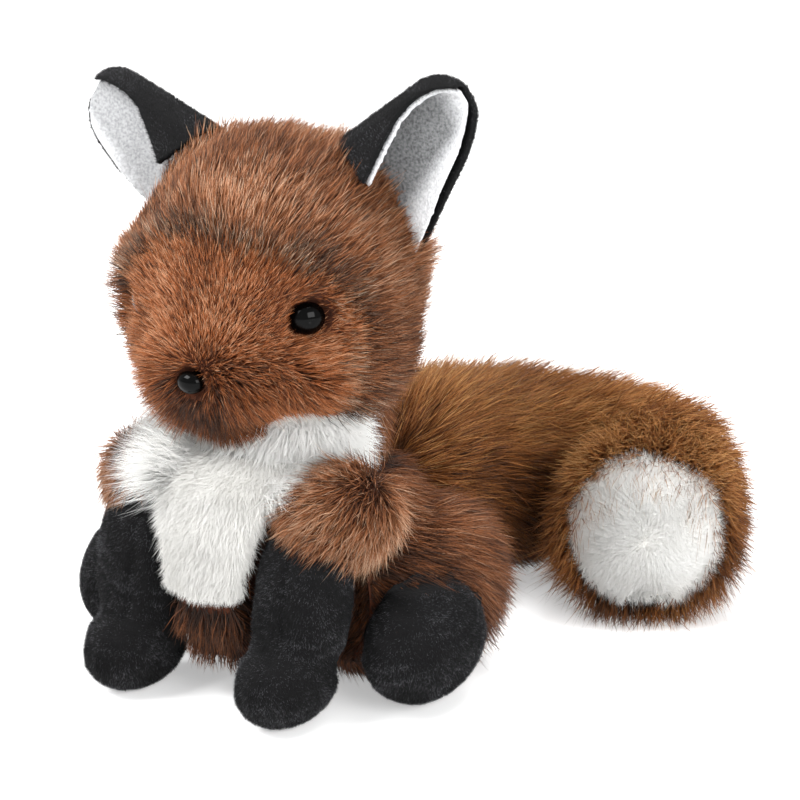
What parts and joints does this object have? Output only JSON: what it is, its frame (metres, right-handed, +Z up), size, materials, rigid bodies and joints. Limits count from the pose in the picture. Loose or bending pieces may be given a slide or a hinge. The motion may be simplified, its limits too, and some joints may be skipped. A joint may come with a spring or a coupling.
{
  "type": "finger puppet",
  "caption": "Seated plush fox worked by a finger pushed up through the base into the head, with a turning and nodding head, folding ears, lifting forelegs and a hooked tail.",
  "frame": {"origin": "centre of the footprint on the floor", "axes": "+Z up, the fox faces -Y, its left side is +X"},
  "size_m": [0.1102, 0.1478, 0.1235],
  "materials": {
    "red_fur": "long-pile plush, rust brown with dark roots and pale tips",
    "face_fur": "trimmed short-pile plush",
    "white_fur": "long-pile plush",
    "black_plush": "short crushed pile",
    "ear_velour": "flat velour",
    "pocket_lining": "woven lining",
    "fibre_filling": "loose polyester fibre",
    "button_plastic": "polished",
    "washer_plastic": "moulded"
  },
  "bodies": {
    "body": {"body_cover": "red_fur", "chest_bib": "white_fur", "opening_hem": "pocket_lining", "finger_sleeve": "pocket_lining", "body_stuffing": "fibre_filling", "left_hind_foot": "black_plush", "left_hind_foot_stuffing": "fibre_filling", "right_hind_foot": "black_plush", "right_hind_foot_stuffing": "fibre_filling"},
    "neck": {"throat_ruff": "white_fur", "nape_ruff": "red_fur"},
    "head": {"head_cover": "red_fur", "face_panel": "face_fur", "fingertip_pocket": "pocket_lining", "head_stuffing": "fibre_filling", "left_eye": "button_plastic", "left_eye_washer": "washer_plastic", "right_eye": "button_plastic", "right_eye_washer": "washer_plastic", "nose": "button_plastic", "nose_washer": "washer_plastic"},
    "left_ear": {"left_ear_back": "black_plush", "left_ear_lining": "ear_velour"},
    "right_ear": {"right_ear_back": "black_plush", "right_ear_lining": "ear_velour"},
    "left_arm": {"left_arm_sleeve": "red_fur", "left_foreleg": "black_plush", "left_foreleg_stuffing": "fibre_filling"},
    "right_arm": {"right_arm_sleeve": "red_fur", "right_foreleg": "black_plush", "right_foreleg_stuffing": "fibre_filling"},
    "tail": {"tail_cover": "red_fur", "tail_tip": "white_fur", "tail_stuffing": "fibre_filling"}
  },
  "joints": [
    {"name": "head_turn", "type": "hinge", "parent": "body", "child": "neck", "pos_m": [-0.00371, -0.03279, 0.051], "axis": [0, 0, 1], "range_deg": [-25, 25], "stiffness_Nm_per_rad": 0.08},
    {"name": "head_nod", "type": "hinge", "parent": "neck", "child": "head", "pos_m": [-0.00371, -0.03279, 0.051], "axis": [1, 0, 0], "range_deg": [-15, 6], "stiffness_Nm_per_rad": 0.2},
    {"name": "left_ear_fold", "type": "hinge", "parent": "head", "child": "left_ear", "pos_m": [0.01795, -0.02849, 0.09714], "axis": [0.5878, 0, -0.809], "range_deg": [-20, 6], "stiffness_Nm_per_rad": 0.02},
    {"name": "right_ear_fold", "type": "hinge", "parent": "head", "child": "right_ear", "pos_m": [-0.03159, -0.02849, 0.09367], "axis": [0.4695, 0, 0.8829], "range_deg": [-20, 6], "stiffness_Nm_per_rad": 0.02},
    {"name": "left_arm_lift", "type": "hinge", "parent": "body", "child": "left_arm", "pos_m": [0.02029, -0.04779, 0.04], "axis": [-1, 0, 0], "range_deg": [0, 35], "stiffness_Nm_per_rad": 0.03},
    {"name": "right_arm_lift", "type": "hinge", "parent": "body", "child": "right_arm", "pos_m": [-0.02771, -0.04779, 0.04], "axis": [-1, 0, 0], "range_deg": [0, 35], "stiffness_Nm_per_rad": 0.03},
    {"name": "tail_swing", "type": "hinge", "parent": "body", "child": "tail", "pos_m": [-0.00371, 0.01212, 0.029], "axis": [0, 0, 1], "range_deg": [-18, 18], "stiffness_Nm_per_rad": 0.05}
  ]
}
